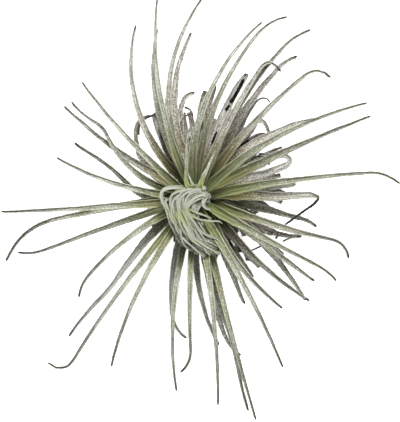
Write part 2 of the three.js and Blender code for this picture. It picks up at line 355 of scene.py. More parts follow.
def blade_mesh(name, run, shape, seed, gap=STATION_GAP):
    """A closed blade along a run, with its measures along, across and round its rim.

    shape holds its roll at base and tip, thickness, fuzz, edge fuzz and waviness.
    """
    draw = random.Random(seed)
    drift = Vector((draw.uniform(0, 50), draw.uniform(0, 50), draw.uniform(0, 50)))
    stations = even_stations(run, gap)
    points, along, across, rim = [], [], [], []
    for step, (centre, up, half_width) in enumerate(stations[:-1]):
        part = step / (len(stations) - 1)
        ahead = stations[step + 1][0] - stations[max(step - 1, 0)][0]
        tangent = ahead.normalized()
        side = tangent.cross(up).normalized()
        up = side.cross(tangent)
        wave = noise.noise_vector(centre / WAVE_SIZE + drift)
        free = min(1.0, part / HELD_PART)
        twist = shape["wave"] * free * wave.x * WAVE_TWIST
        side, up = (
            side * math.cos(twist) + up * math.sin(twist),
            up * math.cos(twist) - side * math.sin(twist),
        )
        centre = centre + (side * wave.y + up * wave.z) * shape["wave"] * free * WAVE_SHIFT
        half_width *= 1 + SWELLING * noise.noise(centre / SWELLING_SIZE + drift)
        roll = shape["roll"][0] + (shape["roll"][1] - shape["roll"][0]) * part
        roll = max(roll * (1 + 0.5 * shape["wave"] * wave.z), LEAST_ROLL)
        thickness = shape["thickness"] * (1 - THINNING * part)
        radius = half_width / roll
        for number, place in enumerate(UPPER_PLACES + LOWER_PLACES):
            below = number >= len(UPPER_PLACES)
            angle = roll * place
            outward = side * math.sin(angle) - up * math.cos(angle)
            skin = thickness * math.sqrt(1 - place * place) if below else 0.0
            point = centre + up * radius + outward * (radius + skin)
            rough = shape["fuzz"] * draw.random() ** 2
            if below:
                point += outward * rough
            elif abs(place) < 1:
                point -= outward * rough * UPPER_FUZZ
            else:
                bristle = BRISTLE_REACH * draw.random()
                spike = shape["edge"] * (TOOTH_REACH * tooth(point, drift) + bristle)
                point += (side * place * math.cos(angle) + up * math.sin(abs(angle))) * spike
                point += tangent * draw.uniform(-BRISTLE_SLANT, BRISTLE_SLANT) * gap
            point.z = max(point.z, FLOOR_CLEARANCE)
            points.append(point)
            along.append(part)
            across.append(place * half_width / MM)
            rim.append(2 - abs(place) if below else abs(place))
    points.append(stations[-1][0])
    along.append(1.0)
    across.append(0.0)
    rim.append(0.0)
    apex = len(points) - 1
    last = apex - BLADE_SIDES
    faces = ring_faces(len(stations) - 1, BLADE_SIDES)
    faces += [(last + k, last + (k + 1) % BLADE_SIDES, apex) for k in range(BLADE_SIDES)]
    mesh = bpy.data.meshes.new(name)
    mesh.from_pydata(points, [], faces)
    for measure, values in (("along", along), ("across", across), ("rim", rim)):
        mesh.attributes.new(measure, "FLOAT", "POINT").data.foreach_set("value", values)
    mesh.shade_smooth()
    return mesh


def place_piece(name, mesh, material, slot, *nodes):
    """Adds a piece that rides on the plant, stands for the CAD nodes and takes the material as its
    finish. The slot is not used.
    """
    piece = bpy.data.objects.new(name, mesh)
    bpy.context.scene.collection.objects.link(piece)
    mesh.materials.append(material)
    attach(piece, "root")
    if nodes:
        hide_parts(*nodes)


def leaf_nodes(prefix):
    """The names of the CAD leaves of one kind, in order."""
    return sorted(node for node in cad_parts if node.startswith(prefix))


def narrowed(run, start, share):
    """The run with only a share of its breadth left beyond a part of its length."""
    last = len(run) - 1
    return [
        (centre, up, half_width * (share if k / last > start else 1.0))
        for k, (centre, up, half_width) in enumerate(run)
    ]


def dress_leaves(prefix, shape, sheath, finishes, picks, wiry_ends):
    """Makes the blade of each leaf whose name starts with the prefix, with its picked finish."""
    for node, pick in zip(leaf_nodes(prefix), picks, strict=True):
        run = leaf_run(node, shape["swell"], shape["fringe"])
        run = narrowed(run, *wiry_ends.get(node, (1.0, 1.0)))
        run = with_sheath(run, **sheath)
        mesh = blade_mesh(node + "_blade", run, shape, node)
        place_piece(node + "_blade", mesh, finishes[pick], prefix, node)


INNER_SHAPE = {
    "roll": (1.1, 1.9), "swell": 1.05, "fringe": 0.28 * MM, "thickness": 0.8 * MM,
    "fuzz": 0.08 * MM, "edge": 0.4 * MM, "wave": 0.2,
}
INNER_SHEATH = {"drop": 5.0 * MM, "half_width": 2.8 * MM}
SILVER_SCALES = (0.352, 0.356, 0.335)
LIME_MARGIN = (0.36, 0.40, 0.27)
inner_finishes = [
    leaf_finish(
        "inner_leaf_green",
        [
            (0.0, (0.112, 0.148, 0.042)),
            (0.1, (0.122, 0.158, 0.05)),
            (0.26, (0.138, 0.154, 0.07)),
            (0.6, (0.165, 0.166, 0.12)),
            (0.93, (0.17, 0.172, 0.145)),
            (1.0, (0.055, 0.055, 0.042)),
        ],
        LIME_MARGIN, scurf=(SILVER_SCALES, 0.46), blotch=((0.13, 0.11, 0.06), 0.55),
    ),
    leaf_finish(
        "inner_leaf_sage",
        [
            (0.0, (0.112, 0.144, 0.05)),
            (0.1, (0.124, 0.155, 0.058)),
            (0.26, (0.145, 0.156, 0.08)),
            (0.6, (0.17, 0.171, 0.132)),
            (0.93, (0.178, 0.179, 0.155)),
            (1.0, (0.058, 0.058, 0.048)),
        ],
        LIME_MARGIN, scurf=(SILVER_SCALES, 0.49), blotch=((0.135, 0.115, 0.07), 0.55),
    ),
    leaf_finish(
        "inner_leaf_taupe",
        [
            (0.0, (0.106, 0.142, 0.042)),
            (0.08, (0.108, 0.136, 0.045)),
            (0.16, (0.125, 0.122, 0.06)),
            (0.35, (0.155, 0.142, 0.095)),
            (0.6, (0.17, 0.166, 0.13)),
            (0.93, (0.178, 0.179, 0.155)),
            (1.0, (0.058, 0.058, 0.048)),
        ],
        LIME_MARGIN, scurf=(SILVER_SCALES, 0.46), blotch=((0.11, 0.09, 0.055), 0.6),
    ),
]
INNER_PICKS = (0, 0, 1, 1, 1, 1, 1, 1, 1, 0, 0, 0, 1, 1, 1, 1, 1, 1, 2)
dress_leaves("inner_leaf", INNER_SHAPE, INNER_SHEATH, inner_finishes, INNER_PICKS, {})


# ---------------------------------------------------------------- middle leaves
# Last season's leaves, below the inner ones. They are duller, lie flatter and carry a thicker
# coat of scales, which frays along their edges.

MIDDLE_SHAPE = {
    "roll": (1.15, 2.0), "swell": 1.15, "fringe": 0.36 * MM, "thickness": 0.8 * MM,
    "fuzz": 0.14 * MM, "edge": 0.6 * MM, "wave": 0.3,
}
MIDDLE_SHEATH = {"drop": 5.0 * MM, "half_width": 3.0 * MM}
GREY_SCALES = (0.36, 0.359, 0.336)
SAND_MARGIN = (0.38, 0.375, 0.31)
middle_finishes = [
    leaf_finish(
        "middle_leaf_olive",
        [
            (0.0, (0.08, 0.104, 0.022)),
            (0.12, (0.112, 0.13, 0.04)),
            (0.3, (0.14, 0.141, 0.064)),
            (0.6, (0.162, 0.158, 0.112)),
            (0.93, (0.17, 0.168, 0.142)),
            (1.0, (0.055, 0.054, 0.042)),
        ],
        SAND_MARGIN, scurf=(GREY_SCALES, 0.46), blotch=((0.13, 0.11, 0.055), 0.5),
    ),
    leaf_finish(
        "middle_leaf_grey",
        [
            (0.0, (0.08, 0.088, 0.024)),
            (0.12, (0.124, 0.115, 0.04)),
            (0.3, (0.154, 0.136, 0.075)),
            (0.6, (0.17, 0.162, 0.122)),
            (0.93, (0.178, 0.175, 0.153)),
            (1.0, (0.057, 0.055, 0.045)),
        ],
        SAND_MARGIN, scurf=(GREY_SCALES, 0.50), blotch=((0.13, 0.108, 0.062), 0.5),
    ),
    leaf_finish(
        "middle_leaf_bronze",
        [
            (0.0, (0.05, 0.045, 0.015)),
            (0.2, (0.075, 0.066, 0.032)),
            (0.42, (0.085, 0.072, 0.045)),
            (0.55, (0.15, 0.148, 0.1)),
            (0.93, (0.17, 0.168, 0.14)),
            (1.0, (0.055, 0.054, 0.042)),
        ],
        SAND_MARGIN, scurf=(GREY_SCALES, 0.44), blotch=((0.06, 0.048, 0.03), 0.6),
    ),
    leaf_finish(
        "middle_leaf_silver",
        [
            (0.0, (0.09, 0.086, 0.028)),
            (0.12, (0.15, 0.14, 0.08)),
            (0.3, (0.195, 0.185, 0.15)),
            (0.6, (0.205, 0.198, 0.175)),
            (0.93, (0.195, 0.19, 0.17)),
            (1.0, (0.09, 0.086, 0.075)),
        ],
        SAND_MARGIN, scurf=(GREY_SCALES, 0.55), blotch=((0.15, 0.13, 0.09), 0.4),
    ),
]
# The last leaf takes the silver finish, lighter than its own taupe, as painted light where the heart
# shades it.
MIDDLE_PICKS = (0, 1, 1, 1, 0, 1, 0, 0, 2, 0, 0, 3, 0, 1, 1, 1, 3)
dress_leaves("middle_leaf", MIDDLE_SHAPE, MIDDLE_SHEATH, middle_finishes, MIDDLE_PICKS, {})


# ---------------------------------------------------------------- outer leaves
# The oldest leaves, dried to taupe and grey-brown. They have rolled in along their edges, and
# their scales stand out as a ragged white fuzz. Some have hooked, looped or blunt ends.

OUTER_SHAPE = {
    "roll": (1.15, 1.7), "swell": 1.18, "fringe": 0.45 * MM, "thickness": 0.6 * MM,
    "fuzz": 0.22 * MM, "edge": 0.75 * MM, "wave": 0.45,
}
OUTER_SHEATH = {"drop": 4.5 * MM, "half_width": 3.3 * MM}
PALE_SCALES = (0.43, 0.415, 0.39)
TAN_MARGIN = (0.42, 0.40, 0.36)
outer_finishes = [
    leaf_finish(
        "outer_leaf_taupe",
        [
            (0.0, (0.06, 0.05, 0.018)),
            (0.16, (0.105, 0.09, 0.036)),
            (0.4, (0.125, 0.107, 0.057)),
            (0.7, (0.165, 0.152, 0.112)),
            (0.93, (0.17, 0.16, 0.13)),
            (1.0, (0.035, 0.03, 0.022)),
        ],
        TAN_MARGIN, scurf=(PALE_SCALES, 0.46), blotch=((0.09, 0.072, 0.04), 0.7), depth=0.65,
    ),
    leaf_finish(
        "outer_leaf_ash",
        [
            (0.0, (0.07, 0.06, 0.02)),
            (0.16, (0.114, 0.101, 0.041)),
            (0.4, (0.142, 0.125, 0.075)),
            (0.7, (0.18, 0.172, 0.138)),
            (0.93, (0.185, 0.177, 0.15)),
            (1.0, (0.045, 0.042, 0.034)),
        ],
        TAN_MARGIN, scurf=(PALE_SCALES, 0.50), blotch=((0.12, 0.10, 0.062), 0.6), depth=0.55,
    ),
    leaf_finish(
        "outer_leaf_silver",
        [
            (0.0, (0.08, 0.066, 0.025)),
            (0.2, (0.112, 0.094, 0.045)),
            (0.4, (0.152, 0.138, 0.096)),
            (0.62, (0.19, 0.182, 0.152)),
            (0.85, (0.205, 0.2, 0.175)),
            (1.0, (0.1, 0.096, 0.084)),
        ],
        TAN_MARGIN, scurf=(PALE_SCALES, 0.54), blotch=((0.15, 0.13, 0.1), 0.4), depth=0.65,
    ),
    leaf_finish(
        "outer_leaf_olive",
        [
            (0.0, (0.08, 0.075, 0.02)),
            (0.16, (0.114, 0.103, 0.038)),
            (0.4, (0.138, 0.126, 0.062)),
            (0.7, (0.165, 0.158, 0.11)),
            (0.93, (0.172, 0.166, 0.13)),
            (1.0, (0.05, 0.048, 0.035)),
        ],
        SAND_MARGIN, scurf=(GREY_SCALES, 0.49), blotch=((0.12, 0.1, 0.05), 0.5), depth=0.45,
    ),
    leaf_finish(
        "outer_leaf_hooked",
        [
            (0.0, (0.07, 0.06, 0.02)),
            (0.16, (0.114, 0.103, 0.04)),
            (0.4, (0.142, 0.128, 0.07)),
            (0.66, (0.2, 0.195, 0.15)),
            (0.74, (0.05, 0.046, 0.032)),
            (1.0, (0.02, 0.018, 0.013)),
        ],
        SAND_MARGIN, scurf=(GREY_SCALES, 0.50), blotch=((0.12, 0.1, 0.05), 0.5), depth=0.65, bare=0.68,
    ),
    leaf_finish(
        "outer_leaf_umber",
        [
            (0.0, (0.06, 0.05, 0.018)),
            (0.2, (0.115, 0.098, 0.045)),
            (0.55, (0.14, 0.12, 0.08)),
            (0.8, (0.1, 0.08, 0.06)),
            (1.0, (0.045, 0.036, 0.028)),
        ],
        TAN_MARGIN, scurf=(PALE_SCALES, 0.46), blotch=((0.09, 0.07, 0.045), 0.6), depth=0.65, bare=0.8,
    ),
]
OUTER_PICKS = (1, 0, 2, 1, 2, 1, 2, 0, 3, 4, 3, 0, 0, 3, 3, 3, 1, 1, 1, 5, 0, 0)
# Leaves that have dried to a wire past a bend: where it starts, and the share of breadth left.
WIRY_ENDS = {"outer_leaf_02": (0.5, 0.7), "outer_leaf_10": (0.57, 0.4)}
dress_leaves("outer_leaf", OUTER_SHAPE, OUTER_SHEATH, outer_finishes, OUTER_PICKS, WIRY_ENDS)


# ---------------------------------------------------------------- withered leaves
# Short dead leaves that pack the skirt between the outer ones, and stay broad to a torn end.
# Each springs from low on the stem and lies close under its neighbours.

WITHERED_COUNT = 54
WITHERED_BEARINGS = (-80, 128)
WITHERED_REACHES = (17 * MM, 30 * MM)
WITHERED_SEATS = (4 * MM, 18 * MM)
WITHERED_SWEEPS = (-36, 8)
WITHERED_CURLS = (-70, 30)
WITHERED_TAPERS = (0.3, 0.8)
WITHERED_JITTER = 0.4
WITHERED_SHEATH = {"drop": 4 * MM, "half_width": 3 * MM}
WITHERED_HALF_WIDTH = 2.1 * MM
WITHERED_STEPS = 14
WITHERED_ARCH = 0.12
WITHERED_SAG = 0.55
WITHERED_CURL_FROM = 0.7
STEM_FOOT_RADIUS = 6.0 * MM
STEM_TAPER = 0.55


def heading(degrees):
    """The level direction at a bearing."""
    angle = math.radians(degrees)
    return Vector((math.cos(angle), math.sin(angle), 0))


def withered_run(bearing, reach, height, sweep, curl, taper):
    """A low arching run that leaves the stem at a bearing, and curls at its end."""
    axis = stem_top * (height / stem_top.z)
    seat_radius = STEM_FOOT_RADIUS * (1 - STEM_TAPER * height / stem_top.z)
    place = Vector((axis.x, axis.y, 0)) + heading(bearing - sweep / 2) * seat_radius
    run = []
    for step in range(WITHERED_STEPS + 1):
        part = step / WITHERED_STEPS
        # The arch has risen a little at the seat, and has almost come down again at the end.
        arch = math.sin(math.pi * min(part * 0.8 + 0.12, 1.0)) * reach * WITHERED_ARCH
        half_width = WITHERED_HALF_WIDTH * (1 - taper * part**1.3)
        centre = Vector((place.x, place.y, height * (1 - WITHERED_SAG * part) + arch))
        run.append((centre, Vector((0, 0, 1)), half_width))
        ended = max(0.0, part - WITHERED_CURL_FROM) / (1 - WITHERED_CURL_FROM)
        way = heading(bearing + sweep * (part - 0.5) + curl * ended**1.5)
        place = place + way * (reach / WITHERED_STEPS)
    return run


# Near black toward the stem: partly dead tissue, partly painted shade where these leaves lie buried.
withered_finish = leaf_finish(
    "withered_leaf_brown",
    [
        (0.0, (0.012, 0.01, 0.005)),
        (0.2, (0.06, 0.05, 0.022)),
        (0.45, (0.13, 0.112, 0.066)),
        (0.85, (0.18, 0.165, 0.125)),
        (1.0, (0.11, 0.095, 0.07)),
    ],
    (0.30, 0.27, 0.20), scurf=(PALE_SCALES, 0.45), blotch=((0.08, 0.066, 0.036), 0.6),
    depth=0.65, bare=NEVER_BARE,
)
withered_draw = random.Random(11)
for number in range(WITHERED_COUNT):
    jitter = withered_draw.uniform(-WITHERED_JITTER, WITHERED_JITTER)
    spread = (number + 0.5 + jitter) / WITHERED_COUNT
    first, last = WITHERED_BEARINGS
    run = withered_run(
        bearing=first + (last - first) * spread,
        reach=withered_draw.uniform(*WITHERED_REACHES),
        height=withered_draw.uniform(*WITHERED_SEATS),
        sweep=withered_draw.uniform(*WITHERED_SWEEPS),
        curl=withered_draw.uniform(*WITHERED_CURLS),
        taper=withered_draw.uniform(*WITHERED_TAPERS),
    )
    name = f"withered_leaf_{number + 1:02d}"
    mesh = blade_mesh(name, with_sheath(run, **WITHERED_SHEATH), OUTER_SHAPE, name)
    place_piece(name, mesh, withered_finish, "outer_leaf")


# Stubs that lie open at the near and left sides, and then three at the far side that have kept
# an outer leaf's colour. Each has its half width and its points in millimetres.
ASH, SILVERED, UMBER = outer_finishes[1], outer_finishes[2], outer_finishes[5]
STUB_TAPER = 0.25
STUBS = [
    (1.8, withered_finish, [(-6, -6.5, 9), (-14, -8.6, 11), (-20, -9.4, 11), (-25.4, -8.4, 10)]),
    (1.7, withered_finish, [(-7, -9, 9), (-12, -12.6, 11), (-17, -16, 11), (-20.4, -18.6, 10)]),
    (0.7, withered_finish, [(-10, -12, 9), (-12, -17, 10), (-12.8, -21, 9.6), (-13, -23.8, 9)]),
    (1.8, withered_finish, [(5.4, -15.4, 9), (10.6, -21.4, 9), (19, -30.6, 9), (21.9, -33.8, 8)]),
    (1.9, withered_finish, [(6.6, -20.6, 10), (12.2, -28.4, 11), (17, -35.6, 10), (18.6, -38, 9)]),
    (1.6, withered_finish, [(12, -12, 10), (20, -18.6, 12), (28, -25.6, 12), (31.6, -28.6, 11)]),
    (1.7, SILVERED, [(9.7, 10.5, 12), (13.8, 15.8, 14), (17.9, 21.3, 14.5), (20.6, 25.2, 14)]),
    (1.5, ASH, [(10.5, 13.7, 14), (13.7, 21.7, 14), (16.1, 27.7, 13.5), (17.9, 32.1, 13)]),
    (2.0, UMBER, [(-2.4, 23.4, 10), (-2, 29.4, 12), (-1.1, 34.2, 12.5), (0.2, 38, 12)]),
]


def run_through(points, half_width, taper, start=Vector((0, 0, 0))):
    """A run through points in millimetres, measured from a start."""
    up = Vector((0, 0.2, 1)).normalized()
    run = []
    for k, point in enumerate(points):
        part = k / (len(points) - 1)
        run.append((start + Vector(point) * MM, up, half_width * (1 - taper * part**1.5)))
    return run


for number, (half_width, finish, points) in enumerate(STUBS):
    name = f"withered_stub_{number + 1:02d}"
    mesh = blade_mesh(name, run_through(points, half_width * MM, STUB_TAPER), OUTER_SHAPE, name)
    place_piece(name, mesh, finish, "outer_leaf")


# ---------------------------------------------------------------- dead curls
# Thin leaf ends that have dried dark and curled up between the others, and a few wiry roots.
# Each is a narrow, tightly rolled blade that follows the points of its own curl.

CURL_SHAPE = {
    "roll": (1.5, 1.5), "thickness": 0.3 * MM, "fuzz": 0.05 * MM, "edge": 0.2 * MM, "wave": 0.2,
}
CURL_HALF_WIDTH = 0.7 * MM
CURL_TAPER = 0.4

# Each curl's breadth, as a share of the usual one, and its points in millimetres.
DEAD_CURLS = [
    (0.9, [
        (8, 6, 14), (12, 16, 16), (15, 24, 16), (18.8, 31, 15), (21.6, 34.6, 13), (24.4, 35, 11.5),
        (26, 33.4, 11),
    ]),
    (1.0, [
        (-6, 8, 12), (-9.6, 16, 13), (-10.7, 21.5, 13), (-10, 25.2, 12.5), (-8.2, 27.8, 12),
        (-5, 28.8, 11.5),
    ]),
    (0.7, [(-8.6, 31.4, 10.5), (-6.6, 30.4, 11), (-5.4, 28.6, 11.5), (-5.2, 26, 11.5)]),
    (0.5, [(31.4, -22.8, 13.6), (36, -20.6, 13.5), (39.6, -19.2, 13), (41, -18.8, 12.8)]),
    (1.4, [
        (4, -5, 9), (14, -11, 11), (21, -15.6, 12), (25, -17.6, 12), (28, -18.6, 12),
        (29, -20.4, 11.5), (28.4, -22, 11),
    ]),
    (0.8, [(16, -19, 15), (20, -21.6, 15), (22.4, -24.4, 13), (21, -25.6, 12), (18.4, -26.8, 11.5)]),
    (0.6, [(-1, -14, 9), (-1.2, -24, 8), (-0.6, -30, 7), (1, -33, 6), (3, -35.4, 5.5)]),
    (1.0, [
        (-27.8, 20, 9.5), (-27.2, 24.6, 9), (-24.4, 27, 8.5), (-21.6, 28.2, 8), (-18.2, 31, 7.5),
        (-15.8, 33.6, 7), (-13.4, 35.6, 6.5),
    ]),
]
curl_finish = leaf_finish(
    "dead_curl_brown",
    [
        (0.0, (0.05, 0.04, 0.028)),
        (0.4, (0.10, 0.088, 0.07)),
        (0.8, (0.10, 0.09, 0.075)),
        (0.95, (0.07, 0.06, 0.05)),
        (1.0, (0.03, 0.025, 0.02)),
    ],
    (0.16, 0.145, 0.125), scurf=(PALE_SCALES, 0.40), blotch=((0.03, 0.022, 0.016), 0.6),
)
for number, (breadth, points) in enumerate(DEAD_CURLS):
    name = f"dead_curl_{number + 1:02d}"
    run = run_through(points, CURL_HALF_WIDTH * breadth, CURL_TAPER)
    mesh = blade_mesh(name, run, CURL_SHAPE, name)
    place_piece(name, mesh, curl_finish, "outer_leaf")


# ---------------------------------------------------------------- painted shadow slits
# Where a dead leaf has rolled shut, its channel lies in shade, and so do a few narrow gaps
# between leaves. Each slit is a narrow near-black blade of painted shadow that lies along one.

SLIT_TAPER = 0.2
# Each slit's breadth, as a share of a dead curl's, and its points in millimetres.
SLITS = [
    (1.2, [
        (10.3, 33.5, 15.4), (11.9, 35.9, 14.6), (13.4, 38.6, 13.3), (14.9, 41.7, 11.7),
        (15.4, 42.8, 11),
    ]),
    (1.0, [(8.4, 30.4, 16), (9.3, 31.7, 15.6), (10.1, 32.3, 15)]),
    (1.1, [(14.6, 16, 16), (16.4, 17.2, 16), (18, 18.4, 16)]),
    (0.7, [(26.4, 18.6, 17), (29.6, 20.2, 16.6), (33, 21.6, 16)]),
    (0.8, [(3.1, 16.9, 17.6), (3.8, 19.3, 17.6), (4.9, 21.9, 17.4)]),
    (0.7, [(-17.9, 18.5, 10), (-18.3, 21.5, 9.5)]),
    (0.9, [(-14.3, 17.9, 10), (-14.7, 22.7, 9.5)]),
]
# Painted shadow: near black with a faint mottle, matte and without sheen.
slit = Finish("slit_black")
slit_place = slit.node("ShaderNodeTexCoord", None, None, "Object")
shadow_mottle = slit.node("ShaderNodeTexNoise", None, {"Vector": slit_place, "Scale": 900.0, "Detail": 3.0})
slit_colour = slit.mix(slit.band(shadow_mottle, 0.45, 0.75), (0.003, 0.003, 0.002), (0.03, 0.028, 0.02))
painted_shadow_finish = slit.finish_with(slit_colour, 0.85 + shadow_mottle * 0.15, shadow_mottle, 0.3 * MM, 0.0, 0.05)
for number, (breadth, points) in enumerate(SLITS):
    name = f"channel_slit_{number + 1:02d}"
    run = run_through(points, CURL_HALF_WIDTH * breadth, SLIT_TAPER)
    mesh = blade_mesh(name, run, CURL_SHAPE, name)
    place_piece(name, mesh, painted_shadow_finish, "outer_leaf")


# ---------------------------------------------------------------- heart
# The tuft of youngest leaves: soft, narrow, silvery strands that come up round the stem's top,
# swing out to one side together and trail back across it. Each strand is a fine blade.

STRAND_SHAPE = {
    "roll": (0.9, 0.9), "thickness": 0.35 * MM, "fuzz": 0.1 * MM, "edge": 0.28 * MM, "wave": 0.4,
}
STRAND_HALF_WIDTH = 0.5 * MM
STRAND_GAP = 0.48 * MM
STRAND_TAPER = 0.6
STRAND_BEND = 0.5
STRAND_DRIFT = 1.5

# Guide strands, in millimetres from the top of the stem. The tuft's strands lie between them:
# first those that loop wide to the left, and last those that lie closest over the stem.
GUIDES = [
    [
        (-1, 3, -3), (-0.6, 5.6, 6), (-1.1, 5.7, 12), (-3.7, 3.9, 12.8), (-6, 2.3, 13.4),
        (-7.8, 1.4, 13.6), (-8.7, 0.4, 13.7), (-8.5, -2.4, 13.6), (-7.4, -5.6, 13.2),
        (-5.9, -9.3, 12.4), (-3.8, -12.6, 11.4), (-1.1, -15.5, 10),
    ],
    [
        (0, 3, -3), (0.4, 5.6, 6), (-1.1, 5.9, 12.5), (-3.2, 4.8, 13.2), (-5.4, 3.4, 14),
        (-6, 1.1, 14.3), (-5.3, -2.2, 14.3), (-4.2, -5.6, 14), (-2.4, -8.8, 13), (-0.1, -12.5, 12),
        (2.6, -15.4, 10.5), (6, -18, 8.5),
    ],
    [
        (4, 3, -3), (5.6, 3.8, 7), (5.3, 4.3, 12.5), (3.8, 5.2, 13.6), (1, 4.6, 14.4),
        (-1.6, 2.1, 14.8), (-2.3, -0.6, 14.8), (-1.8, -4, 14.4), (0.4, -8.4, 13.4), (2.7, -11.7, 12),
        (5.7, -15.1, 10), (9.6, -17.6, 8),
    ],
    [
        (5, 2, -3), (6.6, 3, 7), (5.9, 3.1, 12.5), (4.6, 3.6, 13.4), (3, 2.8, 14), (1.6, 1.5, 14.2),
        (0.7, -0.1, 14.2), (0.6, -2.4, 14), (1.4, -4.8, 13.6), (3.6, -8.6, 12.8), (5.8, -12.2, 11.2),
        (8.9, -15.9, 9),
    ],
]
# How many strands lie in each gap between the guides. A sway is how far strands stray from their
# places, lifts are how high they lie over their neighbours, both in millimetres, and breadths are
# shares of the usual one. Ends are how many of the guides' points a strand follows.
GAP_COUNTS = (13, 28, 20)
GAP_SWAY = 1.4
GAP_LIFTS = (-1.4, 0.6)
GAP_BREADTHS = (0.6, 1.3)
GAP_ENDS = (8, 9, 10, 10, 11, 12)
GREEN_UNTIL = 0.6
# Broad strands that lie matted under those.
MAT_COUNT = 20
MAT_GAPS = (0, 0, 1, 1, 2)
MAT_SWAY = 0.8
MAT_LIFT = -1.2
MAT_BREADTHS = (1.6, 2.4)
MAT_END = 11
# Loose ends that trail on past the tuft. They start part of the way along the guides.
WISP_COUNT = 70
WISP_GAPS = (0, 1, 1, 2)
WISP_SWAY = 2.2
WISP_LIFTS = (-1, 1.8)
WISP_BREADTHS = (0.7, 1.7)
WISP_START = 6
# The bud at the stem's top, whose strands lie between its left and right ones.
BUD_COUNT = 11
BUD_SWAY = 0.4
BUD_LIFTS = (-0.6, 0.3)
BUD_LEFT = [
    (4, 2, -2), (6, 3, 6), (5.8, 3.4, 10), (3.9, 2.8, 12.6), (1.6, 0.8, 13.2), (0.4, -1.6, 13),
    (1.1, -3.7, 12.5),
]
BUD_RIGHT = [
    (5, 1, -2), (6.8, 0.6, 5), (6.5, 1.2, 9), (5.1, 0.7, 11.4), (3.5, -0.9, 12), (2.7, -2.9, 12),
    (3.5, -4.9, 11.5),
]
# Strands with places of their own: the widest loop, and three that cross the others. Each has
# its breadth and its points.
OUTER_LOOP = (1.8, [
    (1, 4, -3), (0.5, 6.4, 5), (-1.8, 6.6, 9), (-4.9, 6.8, 12), (-8.6, 6.6, 13.5), (-10.6, 5.5, 14),
    (-11.1, 3.6, 14.2), (-10.4, 1.2, 14), (-9, -1.8, 13.6), (-8, -5.6, 13.1), (-6.8, -9.1, 12.2),
    (-4.6, -12.6, 11.2), (-1.6, -16, 10),
])
CROSSING_STRANDS = [
    (0.8, [(-1, -0.6, 14), (0.9, -1.9, 15.2), (3.8, -3.2, 15), (7.4, -4.7, 13), (8.6, -5.6, 12)]),
    (0.8, [
        (-1, -2.6, 14), (1.2, -4, 15.2), (4, -5.4, 14.6), (7.6, -6.2, 13), (11.4, -6.6, 11),
        (12.6, -7.6, 10),
    ]),
    (0.7, [(0, -11.6, 12.5), (4, -14.6, 12.6), (7.4, -17, 12), (10.8, -18.4, 11), (15.6, -18.8, 9.5)]),
]
# Two young leaves that bow up out of the heart, each with its half width in millimetres.
YOUNG_LEAVES = [
    (0.95, [
        (2.6, 6.8, 13), (0.4, 6.7, 14), (-0.9, 8, 14), (-1.5, 10.8, 13), (-1.2, 14.8, 13),
        (-1, 23.2, 14), (0.1, 29.4, 15.5), (2.2, 33, 16),
    ]),
    (1.1, [
        (4, 6, 13), (4.4, 8.4, 13), (5.2, 11, 11), (6.6, 14, 8.5), (8.3, 17.9, 6.5), (10.2, 21.8, 6),
    ]),
]
# Strands that clasp the tuft's foot, each with its breadth and how much it tapers.
COLLAR_STRANDS = [
    (2.3, 0.3, [(-3, 5, 6), (-1, 6.4, 11), (1, 7, 12.4), (3.2, 7.1, 12.4), (4.6, 6, 11)]),
    (1.6, 0.2, [(5.4, 4.8, 6), (6, 6.4, 10.5), (5.8, 6.9, 12.8), (5.6, 5.8, 13.6)]),
    (3.0, 0.8, [
        (5, 1, -2), (6.8, 2.8, 9), (6.6, 3.8, 12), (6, 2.6, 13.4), (5.5, 0.9, 13.8),
        (6.3, -0.9, 12.8), (8.2, -2, 11),
    ]),
    (1.0, 1.0, [(2, 7.2, 12.4), (1, 8.4, 12), (0, 10.4, 11.4), (-1, 13, 10.4)]),
]
# Near-black blades of painted shadow in the dark hollows under the tuft's strands.
HOLLOW_TAPER = 0.3
HOLLOWS = [
    (1.8, [(-4.2, 4.4, 13.4), (-6.2, 4.1, 14.2), (-8.2, 3.9, 14.5), (-9.9, 3.5, 13.6)]),
    (0.7, [(-8.6, 1.6, 14.2), (-8.2, 1, 14.4), (-7.7, 0.4, 14.2)]),
    (1.5, [(0.3, -3.2, 9), (3, -4.2, 10.4), (5, -5, 10.4), (7, -6, 10)]),
    (1.3, [(2.2, -4.6, 8), (2.8, -7, 10), (3.6, -9, 10), (5, -11.4, 9)]),
]

heart_finishes = [
    leaf_finish(
        "heart_silver",
        [
            (0.0, (0.145, 0.16, 0.097)),
            (0.2, (0.183, 0.191, 0.144)),
            (0.5, (0.208, 0.214, 0.176)),
            (0.85, (0.18, 0.187, 0.145)),
            (1.0, (0.13, 0.14, 0.1)),
        ],
        (0.215, 0.22, 0.177), scurf=((0.232, 0.236, 0.205), 0.56), blotch=((0.155, 0.165, 0.1), 0.3),
        speckle=2400.0, depth=0.2, bare=NEVER_BARE, veins=3.2,
    ),
    leaf_finish(
        "heart_green",
        [
            (0.0, (0.127, 0.142, 0.075)),
            (0.2, (0.164, 0.178, 0.11)),
            (0.5, (0.184, 0.196, 0.13)),
            (0.85, (0.165, 0.175, 0.125)),
            (1.0, (0.13, 0.14, 0.09)),
        ],
        (0.205, 0.218, 0.15), scurf=((0.208, 0.217, 0.17), 0.53), blotch=((0.14, 0.158, 0.085), 0.3),
        speckle=2400.0, depth=0.2, bare=NEVER_BARE, veins=3.2,
    ),
]
SILVER, GREEN = heart_finishes


def between(first, second, share):
    """The points of a strand that lies part of the way from one strand to another."""
    return [Vector(a).lerp(Vector(b), share) for a, b in zip(first, second)]


def stray(draw, amount):
    """A step any way, no longer in each direction than the amount."""
    return Vector([draw.uniform(-1, 1) for _ in range(3)]) * amount


